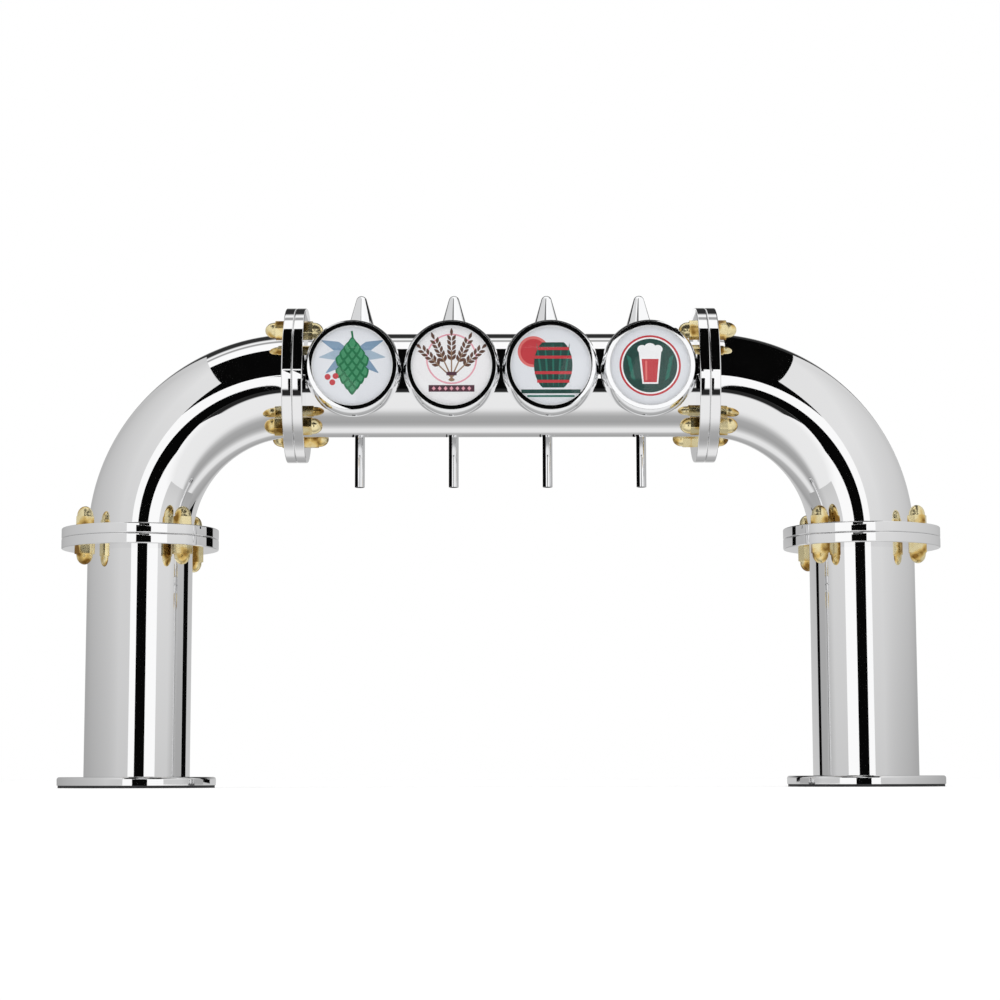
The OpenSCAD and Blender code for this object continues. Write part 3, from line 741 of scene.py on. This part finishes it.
class TOWER_OT_flanges(Operator):
    """Models the flange plates and the cap nuts and dresses base plates, gaskets and studs"""

    bl_idname = "tower.flanges"
    bl_label = "Flanges and nuts"

    def execute(self, context):
        settings = context.scene.tower_flanges
        for side in SIDES:
            for name in FLANGES:
                flange(side + "_" + name, settings)
            dress(side + "_base_plate", finish("steel"))
            dress(side + "_base_gasket", finish("rubber"))
        dress("joint_studs", finish("brass"))
        cap_nuts(settings)
        return {"FINISHED"}


# Medallions


def disc(node):
    """The radius and depth of a medallion's node, and the middle of its rear."""
    low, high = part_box(node)
    middle = centre(node)
    return (high - low).x / 2, high.y - low.y, Vector((middle.x, high.y, middle.z))


def housing(k, settings):
    """The turned housing: curved wall, flat rim, seat for face and lens, hollow behind."""
    node = "medallion_housing_%d" % k
    rear, depth, point = disc(node)
    front = rear - settings.flare
    seat = size("medallion_face_%d" % k).x / 2 + settings.seat_gap
    seat_height = depth - settings.seat_depth
    bm = bmesh.new()
    wall = []
    for i in range(settings.wall_steps + 1):
        share = i / settings.wall_steps
        wall.append((rear - settings.flare * share ** settings.wall_curve, depth * share))
    wire = profile(bm, wall + [
        (front - settings.rim_width, depth), (front - settings.rim_width, depth - settings.lip),
        (seat, depth - settings.lip), (seat, seat_height), (seat - settings.ledge, seat_height),
        (seat - settings.ledge, settings.back_wall), (settings.screw_hole / 2, settings.back_wall),
        (settings.screw_hole / 2, 0)])
    rim_edge, lens_edge = wire[len(wall) - 1], wire[len(wall)]
    round_off(bm, [rim_edge], settings.rim_round, segments=4)
    round_off(bm, [wire[0], lens_edge], settings.rim_round / 3, segments=3)
    turn(bm, settings.turn_steps)
    place(bm, facing_front(point))
    new_piece(bm, node + "_ring", [finish("chrome")], node=node,
              weighted=True)


def lens(k, settings):
    """The clear dome in front of a face."""
    node = "medallion_lens_%d" % k
    radius, room, point = disc(node)
    depth = room - settings.lens_gap
    edge = settings.lens_edge - settings.lens_gap
    dome = depth - edge
    dome_radius = (radius * radius + dome * dome) / (2 * dome)
    bm = bmesh.new()
    wire = profile(bm, [(0, 0), (radius, 0), (radius, edge)], closed=False)
    arc(bm, wire[-1], depth - dome_radius, math.asin(radius / dome_radius), settings.dome_steps)
    turn(bm, settings.turn_steps)
    place(bm, facing_front(point - Vector((0, settings.lens_gap, 0))))
    new_piece(bm, node + "_dome", [finish("lens")], node=node)


class Printer:
    """Lays flat spots of ink on a face, each a little higher than the one before.

    Sizes and places are in parts of the printed radius, X to the right and Y up.
    """

    def __init__(self, bm, radius, base, inks, settings):
        self.bm = bm
        self.radius = radius
        self.base = base
        self.height = settings.ink_height
        self.step = settings.ink_step
        self.inks = inks

    def lay(self, verts, name, wide, high, at, lean):
        """Sizes, turns and places a flat shape and gives it its height."""
        if name not in self.inks:
            self.inks.append(name)
        turned = Matrix.Rotation(math.radians(lean), 3, "Z")
        bmesh.ops.scale(self.bm, vec=(wide * self.radius, high * self.radius, 1), verts=verts)
        bmesh.ops.rotate(self.bm, cent=(0, 0, 0), matrix=turned, verts=verts)
        bmesh.ops.translate(self.bm, vec=(at[0] * self.radius, at[1] * self.radius, self.base),
                            verts=verts)
        faces = list({face for vert in verts for face in vert.link_faces})
        for face in faces:
            face.material_index = self.inks.index(name)
        raise_faces(self.bm, faces, self.height)
        self.height += self.step

    def spot(self, name, wide, high, at=(0, 0), lean=0, point=0.0, flat=1.0, steps=32):
        """An oval; point sharpens its upper and lower end, flat cuts them off."""
        verts = bmesh.ops.create_circle(self.bm, cap_ends=True, radius=0.5, segments=steps)["verts"]
        for vert in verts:
            vert.co.x *= 1 - 2 * point * abs(vert.co.y)
            vert.co.y = max(-flat / 2, min(flat / 2, vert.co.y))
        self.lay(verts, name, wide, high, at, lean)

    def bar(self, name, wide, high, at=(0, 0), lean=0, spread_top=1.0):
        """A straight bar, whose upper end may be wider or narrower."""
        verts = bmesh.ops.create_grid(self.bm, x_segments=1, y_segments=1, size=0.5)["verts"]
        for vert in verts:
            vert.co.x *= spread_top if vert.co.y > 0 else 1.0
        self.lay(verts, name, wide, high, at, lean)


def hop_print(printer):
    """A hop cone on its leaves, with three berries."""
    for tilt, name in ((68, "leaf"), (98, "pale_leaf"), (128, "leaf")):
        for lean in (tilt, -tilt):
            reach = math.radians(lean + 90)
            at = (0.42 * math.cos(reach), 0.34 + 0.42 * math.sin(reach))
            printer.spot(name, 0.26, 0.86, at, lean, point=0.72)
    rows = ((1, -0.56), (2, -0.43), (3, -0.29), (4, -0.14), (3, 0.01), (4, 0.16), (3, 0.31),
            (2, 0.45), (1, 0.56))
    for count, height in rows:
        for i in range(count):
            across = 0.20 * (i - (count - 1) / 2)
            lean = 60 * across
            printer.spot("green", 0.26, 0.36, (across, height), lean, point=0.45)
            printer.spot("fresh_green", 0.17, 0.26, (across, height + 0.02), lean, point=0.45)
    printer.bar("green", 0.05, 0.20, (0, 0.80), lean=8)
    for at in ((-0.50, -0.42), (-0.62, -0.28), (-0.42, -0.26)):
        printer.spot("red", 0.15, 0.15, at)


def sheaf_print(printer):
    """A tied sheaf of five ears in a rose ring, over a dark band."""
    printer.spot("rose", 1.30, 1.30, (0, 0.18))
    printer.spot("paper", 1.22, 1.22, (0, 0.18))
    for lean in (-46, 46, -24, 24, 0):
        reach = math.radians(lean + 90)
        along = Vector((math.cos(reach), math.sin(reach)))
        foot = Vector((0, -0.30))
        printer.bar("straw", 0.035, 0.80, foot + along * 0.30, lean)
        for k in range(5):
            middle = foot + along * (0.52 + 0.125 * k)
            for side in (-1, 1):
                across = Vector((along.y, -along.x)) * (0.06 * side)
                printer.spot("brown", 0.085, 0.17, middle + across, lean - 32 * side, point=0.45)
        printer.spot("brown", 0.08, 0.20, foot + along * 1.17, lean, point=0.45)
    printer.bar("maroon", 0.26, 0.09, (0, -0.20))
    printer.bar("maroon", 1.16, 0.17, (0, -0.58))
    for k in range(-3, 4):
        printer.spot("rose", 0.10, 0.12, (0.15 * k, -0.58), point=1.0)


def barrel_print(printer):
    """A standing barrel with hoops on a plank, and a rising sun behind."""
    printer.spot("pale_red", 0.80, 0.80, (-0.44, 0.36))
    printer.spot("red", 0.66, 0.66, (-0.44, 0.36))
    printer.spot("bottle", 0.98, 1.42, (0.06, 0.02), flat=0.82)
    for k in range(-2, 3):
        printer.spot("sea", 0.05, 1.12, (0.06 + 0.17 * k, 0.02), lean=-4 * k, point=0.3)
    for height, wide in ((0.44, 0.80), (0.22, 0.94), (-0.18, 0.94), (-0.40, 0.82)):
        printer.bar("red", wide, 0.075, (0.06, height))
    printer.bar("bottle", 1.50, 0.10, (0.0, -0.66))
    printer.bar("sea", 1.20, 0.05, (0.0, -0.78))


def glass_print(printer):
    """A full glass on a dark round field inside a red ring."""
    for name, width in (("red", 1.56), ("white", 1.46), ("bottle", 1.38)):
        printer.spot(name, width, width, steps=96)
    printer.bar("white", 0.40, 0.86, (0, -0.04), spread_top=1.45)
    printer.bar("red", 0.33, 0.60, (0, -0.13), spread_top=1.32)
    printer.bar("pale_red", 0.05, 0.50, (-0.10, -0.13))
    for at, wide in (((-0.20, 0.42), 0.24), ((0.0, 0.47), 0.28), ((0.20, 0.42), 0.24)):
        printer.spot("white", wide, 0.22, at)
    for side in (-1, 1):
        for k in range(4):
            at = (side * (0.44 + 0.03 * k), -0.28 + 0.15 * k)
            printer.spot("sea", 0.10, 0.22, at, lean=-side * 30, point=0.6)


PRINTS = ((hop_print, "field"), (sheaf_print, "paper"), (barrel_print, "field"),
          (glass_print, "field"))


def face_plate(k, settings):
    """A face with a white margin and its raised print."""
    node = "medallion_face_%d" % k
    radius, room, point = disc(node)
    thickness = room - settings.print_room
    bm = bmesh.new()
    profile(bm, [(0, 0), (radius, 0), (radius, thickness), (radius - settings.margin, thickness),
                 (0, thickness)], closed=False)
    turn(bm, settings.turn_steps)
    draw, ground = PRINTS[k - 1]
    printer = Printer(bm, radius - settings.margin, thickness, [ground, "white"], settings)
    for face in bm.faces:
        outside = face.calc_center_median().xy.length > printer.radius
        face.material_index = 1 if outside else 0
    draw(printer)
    place(bm, facing_front(point))
    new_piece(bm, node + "_print", [ink(name) for name in printer.inks], node=node)


class TOWER_OT_medallions(Operator):
    """Models the housings, the printed faces and the lenses"""

    bl_idname = "tower.medallions"
    bl_label = "Medallions"

    def execute(self, context):
        settings = context.scene.tower_medallions
        for k in TAPS:
            housing(k, settings)
            face_plate(k, settings)
            lens(k, settings)
        dress("medallion_pads", finish("rubber"))
        dress("medallion_screws", finish("zinc"))
        dress("medallion_nuts", finish("zinc"))
        return {"FINISHED"}


# Taps and lines


def handle(k, settings):
    """A turned drop on its ferrule: bulb and rounded tip, joined by the cone that touches both."""
    node = "tap_handle_%d" % k
    low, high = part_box(node)
    middle = centre(node)
    length = high.z - low.z
    tip_height = length - settings.tip_radius
    bulb_height = length - settings.bulb_drop
    slope = math.asin((settings.bulb_radius - settings.tip_radius) / (tip_height - bulb_height))
    ferrule = settings.ferrule / 2
    hole = settings.thread_hole / 2
    neck = math.acos(ferrule / settings.bulb_radius)
    bm = bmesh.new()
    wire = profile(bm, [(0, settings.thread_depth), (hole, settings.thread_depth), (hole, 0),
                        (ferrule, 0), (ferrule, bulb_height - settings.bulb_radius * math.sin(neck))],
                   closed=False)
    bulb_end = arc(bm, wire[-1], bulb_height, neck + slope, settings.arc_steps)
    tip_start = bm.verts.new((settings.tip_radius * math.cos(slope), 0,
                              tip_height + settings.tip_radius * math.sin(slope)))
    bm.edges.new((bulb_end, tip_start))
    arc(bm, tip_start, tip_height, QUARTER_TURN - slope, settings.arc_steps)
    round_off(bm, [wire[3]], settings.ferrule_round, segments=3)
    turn(bm, settings.turn_steps)
    place(bm, Matrix.Translation((middle.x, middle.y, low.z)))
    new_piece(bm, node + "_drop", [finish("chrome")], node=node,
              body="lever_%d" % k)


class TOWER_OT_taps(Operator):
    """Models the handles and dresses the taps, their shanks and the lines inside"""

    bl_idname = "tower.taps"
    bl_label = "Taps and lines"

    def execute(self, context):
        for k in TAPS:
            handle(k, context.scene.tower_handles)
            for name in ("tap_body", "tap_plunger", "tap_lever"):
                dress("%s_%d" % (name, k), finish("chrome"))
        for name in ("tap_shanks", "shank_saddles", "coupling_nuts", "tap_spouts", "lever_pins"):
            dress(name, finish("chrome"))
        dress("shank_locknuts", finish("zinc"))
        dress("tap_seals", finish("rubber"))
        dress("beer_lines", finish("drink_line"))
        dress("cooling_line", finish("cooling_line"))
        return {"FINISHED"}


# Stage


# Greys that metal mirrors, by the angle in degrees over the front horizon
SWEEP = [
    (-180, 0.60), (-172, 0.58), (-165, 0.36), (-145, 0.46), (-136, 0.81), (-123, 0.83), (-115, 0.64),
    (-107, 0.45), (-98, 0.37), (-82, 0.41), (-73, 0.56), (-65, 0.78), (-58, 0.86), (-25, 0.87),
    (-12.5, 1.02), (104, 1.04), (107, 0.36), (112, 0.36), (115, 1.0), (120, 0.90), (126, 0.03),
    (150, 0.03), (162, 0.36), (180, 0.60),
]
SHORT_BAND = [(-22.5, 0.02), (-15.5, 0.02)]
BLACK = 0.002
WHITE = (1, 1, 1, 1)
# Cards: name, two corners and brightness
CARDS = (
    ("flag", (-0.305, -1.605, -0.06), (0.318, -1.60, 0.43), BLACK),
    ("left_ceiling", (-1.2, -1.72, 0.86), (-0.19, -0.10, 0.862), BLACK),
    ("right_ceiling", (0.19, -1.90, 0.86), (1.2, -0.10, 0.862), BLACK),
    ("right_rear_ceiling", (0.29, -0.10, 0.86), (1.2, 0.42, 0.862), BLACK),
    ("low_ceiling", (-0.19, -0.64, 0.55), (0.19, -0.062, 0.552), BLACK),
    ("middle_flag", (-0.20, -1.505, 0.42), (0.20, -1.50, 0.56), BLACK),
    ("arm_flag", (0.15, -1.405, 0.668), (0.29, -1.40, 0.74), BLACK),
    ("left_rear_strip", (-2.24, 1.20, 0.0), (-1.16, 1.205, 0.90), BLACK),
    ("right_rear_strip", (0.72, 1.20, 0.0), (1.8, 1.205, 0.90), BLACK),
    ("left_near_screen", (-0.186, -0.10, 0.47), (-0.185, 0.13, 0.87), 0.70),
    ("left_far_screen", (-0.186, -0.75, 0.58), (-0.185, -0.10, 0.87), 0.70),
    ("right_near_screen", (0.185, -0.10, 0.47), (0.186, 0.13, 0.87), 1.0),
    ("right_far_screen", (0.185, -0.75, 0.58), (0.186, -0.10, 0.87), 1.0),
    ("boom", (-0.98, -2.005, 1.45), (-0.11, -2.0, 4.0), 0.17),
)
# Walls: name, two corners, brightness and how fast they lighten upwards
WALLS = (
    ("left_wall", (-0.525, -0.85, 0.0), (-0.52, 0.44, 0.853), 1.0, 0.6),
    ("right_wall", (0.52, -0.85, 0.0), (0.525, 0.44, 0.853), 1.02, 0.9),
)
WALL_GREYS = [(0.0, 0.385), (0.12, 0.42), (0.25, 0.50), (0.48, 0.64), (0.85, 0.79)]
WALL_REAR, WALL_FRONT, WALL_GAIN = 0.15, -0.27, 0.42
RING_FLAG = (-0.213, -1.405, 0.535), (0.113, -1.40, 0.72)
RING_FLAG_TOP = (-0.361, 0.171)
# Spout cards: name, side, reach to the front in gaps and brightness
SPOUT_CARDS = (("dark", -1, 1.45, BLACK), ("grey", 1, 0.66, 0.45))
FLOOR_REACH = 6
FLOOR_GLOW = 0.36
KEY_SIZE = (1.8, 1.2)
KEY_PLACE = (0, -0.9, 1.8)
KEY_TILT = math.radians(30)
SENSOR_WIDTH = 36
CLIP_START = 0.05


def studio_world(settings):
    """White to the camera, a studio of light and dark bands to metal, even light to the rest."""
    world = bpy.data.worlds.new("studio")
    bpy.context.scene.world = world
    world.use_nodes = True
    tree = world.node_tree
    tree.nodes.clear()
    parts = axes(tree, "Generated")
    back = calculate(tree, "MULTIPLY", parts["Y"], -1.0)
    angle = calculate(tree, "ARCTAN2", parts["Z"], back)
    share = calculate(tree, "MULTIPLY_ADD", angle, 1 / FULL_TURN, 0.5)
    sideways = calculate(tree, "ABSOLUTE", parts["X"])
    aside = calculate(tree, "GREATER_THAN", sideways, settings.band_reach)

    def background(strength, colour=None):
        """Light of a strength from all around, white or of a colour."""
        node = tree.nodes.new("ShaderNodeBackground")
        set_inputs(node, {"Color": WHITE, "Strength": strength})
        if colour:
            tree.links.new(colour, node.inputs["Color"])
        return node.outputs["Background"]

    def studio(stops):
        """Bands of grey by the angle over the front horizon."""
        greys = [(degrees / 360 + 0.5, (level,) * 3) for degrees, level in sorted(stops)]
        return background(1.0, blend_colours(tree, share, greys))

    path = tree.nodes.new("ShaderNodeLightPath").outputs
    mirrored = calculate(tree, "MAXIMUM", path["Is Glossy Ray"], path["Is Transmission Ray"])
    bands = choose(tree, aside, studio(SWEEP + SHORT_BAND), studio(SWEEP))
    lit = choose(tree, mirrored, background(settings.fill), bands)
    shown = choose(tree, path["Is Camera Ray"], lit, background(1.0))
    output = tree.nodes.new("ShaderNodeOutputWorld")
    tree.links.new(shown, output.inputs["Surface"])


def only_in_mirrors(obj):
    """Leaves an object visible in reflections alone."""
    obj.visible_camera = False
    obj.visible_diffuse = False
    obj.visible_transmission = False
    obj.visible_volume_scatter = False
    obj.visible_shadow = False


def glow(name, strength):
    """A material that shines by itself and mirrors nothing, and its shader."""
    material, shader = new_finish("glow_" + name, (0, 0, 0), roughness=1.0)
    set_inputs(shader, {"Specular IOR Level": 0.0, "Emission Color": WHITE,
                        "Emission Strength": strength})
    return material, shader


def shade_wall(material, shader, rise):
    """Grey that is darker towards the rear and low down, by the rise given."""
    tree = material.node_tree
    parts = axes(tree, "Object")
    forward = map_range(tree, parts["Y"], WALL_REAR, WALL_FRONT, 0.0, WALL_GAIN)
    lift = calculate(tree, "MULTIPLY_ADD", parts["Z"], rise, forward)
    greys = blend_colours(tree, lift, [(at, (level,) * 3) for at, level in WALL_GREYS])
    tree.links.new(greys, shader.inputs["Emission Color"])


def card(name, low, high, material):
    """A studio card between two corners, which shows in reflections alone."""
    bm = bmesh.new()
    bmesh.ops.create_cube(bm, size=1)
    bmesh.ops.scale(bm, vec=Vector(high) - Vector(low), verts=bm.verts)
    bmesh.ops.translate(bm, vec=(Vector(low) + Vector(high)) / 2, verts=bm.verts)
    obj = to_object(bm, name, [material])
    only_in_mirrors(obj)
    return obj


def ring_flag():
    """A dark flag, wider at its top, that darkens the rims of the middle medallions."""
    flag = card("ring_flag", *RING_FLAG, glow("ring_flag", BLACK)[0])
    top = max(vert.co.z for vert in flag.data.vertices)
    left, right = RING_FLAG_TOP
    for vert in flag.data.vertices:
        if vert.co.z > top - MERGE_DISTANCE:
            vert.co.x = left if vert.co.x < 0 else right


def spout_cards(settings):
    """Small cards on both sides of each spout, which draw its dark and grey edges."""
    low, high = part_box("tap_spouts")
    middle = (low.y + high.y) / 2
    gap = settings.spout_card_gap
    half = settings.card_thickness / 2
    foot, top = low.z - settings.card_drop, low.z + settings.card_rise
    rear = middle + settings.card_reach * gap
    for k in TAPS:
        for kind, side, reach, level in SPOUT_CARDS:
            name = "%s_spout_card_%d" % (kind, k)
            x = centre("medallion_face_%d" % k).x + side * gap
            card(name, (x - half, middle - reach * gap, foot), (x + half, rear, top),
                 glow(name, level)[0])


def pale_floor():
    """A floor that takes the tower's shadow and stays out of reflections."""
    material, shader = new_finish("pale_floor", (0.80, 0.80, 0.80), roughness=1.0)
    set_inputs(shader, {"Emission Color": WHITE, "Emission Strength": FLOOR_GLOW})
    bm = bmesh.new()
    bmesh.ops.create_grid(bm, x_segments=1, y_segments=1, size=FLOOR_REACH)
    floor = to_object(bm, "floor", [material])
    floor.visible_glossy = False


def key_lamp(settings):
    """A wide lamp overhead, which no metal mirrors."""
    light = bpy.data.lights.new("key", "AREA")
    light.shape = "RECTANGLE"
    light.size, light.size_y = KEY_SIZE
    light.energy = settings.key_power
    lamp = bpy.data.objects.new("key", light)
    lamp.matrix_world = Matrix.Translation(KEY_PLACE) @ Matrix.Rotation(KEY_TILT, 4, "X")
    lamp.visible_glossy = False
    bpy.context.scene.collection.objects.link(lamp)


def photo_camera(settings):
    """The camera, from its place, tilt, pan and roll."""
    data = bpy.data.cameras.new("camera")
    data.lens = settings.camera_lens
    data.sensor_width = SENSOR_WIDTH
    data.shift_y = settings.camera_shift
    data.clip_start = CLIP_START
    camera = bpy.data.objects.new("camera", data)
    pan = Matrix.Rotation(-settings.camera_pan, 4, "Z")
    tilt = Matrix.Rotation(QUARTER_TURN + settings.camera_tilt, 4, "X")
    roll = Matrix.Rotation(settings.camera_roll, 4, "Z")
    camera.matrix_world = Matrix.Translation(settings.camera_place) @ pan @ tilt @ roll
    bpy.context.scene.collection.objects.link(camera)
    bpy.context.scene.camera = camera


class TOWER_OT_stage(Operator):
    """Sets up floor, world, cards, lamp and camera"""

    bl_idname = "tower.stage"
    bl_label = "Stage"

    def execute(self, context):
        settings = context.scene.tower_stage
        context.scene.view_settings.view_transform = "Standard"
        studio_world(settings)
        pale_floor()
        key_lamp(settings)
        photo_camera(settings)
        for name, low, high, level in CARDS:
            card(name, low, high, glow(name, level)[0])
        for name, low, high, level, rise in WALLS:
            material, shader = glow(name, level)
            shade_wall(material, shader, rise)
            card(name, low, high, material)
        ring_flag()
        spout_cards(settings)
        return {"FINISHED"}


class TOWER_PT_panel(Panel):
    """Lists the tower's operators and sizes"""

    bl_idname = "TOWER_PT_panel"
    bl_label = "Bridge beer tower"
    bl_space_type = "VIEW_3D"
    bl_region_type = "UI"
    bl_category = "Beer Tower"

    def draw(self, context):
        for operator in OPERATORS:
            self.layout.operator(operator.bl_idname)
        for name in SETTINGS:
            group = getattr(context.scene, name)
            for key in group.__annotations__:
                self.layout.prop(group, key)


SETTINGS = {
    "tower_tubes": TubeSettings,
    "tower_flanges": FlangeSettings,
    "tower_medallions": MedallionSettings,
    "tower_handles": HandleSettings,
    "tower_stage": StageSettings,
}
OPERATORS = (TOWER_OT_stage, TOWER_OT_tubes, TOWER_OT_flanges, TOWER_OT_medallions, TOWER_OT_taps)


def register():
    """Adds the classes and the settings."""
    for cls in (*SETTINGS.values(), *OPERATORS, TOWER_PT_panel):
        bpy.utils.register_class(cls)
    for name, cls in SETTINGS.items():
        setattr(bpy.types.Scene, name, PointerProperty(type=cls))


def unregister():
    """Takes the settings and the classes out again."""
    for name in SETTINGS:
        delattr(bpy.types.Scene, name)
    for cls in (TOWER_PT_panel, *OPERATORS, *SETTINGS.values()):
        bpy.utils.unregister_class(cls)


def main():
    """Builds the tower and its stage."""
    register()
    bpy.ops.tower.stage()
    bpy.ops.tower.tubes()
    bpy.ops.tower.flanges()
    bpy.ops.tower.medallions()
    bpy.ops.tower.taps()


if __name__ == "__main__":
    main()
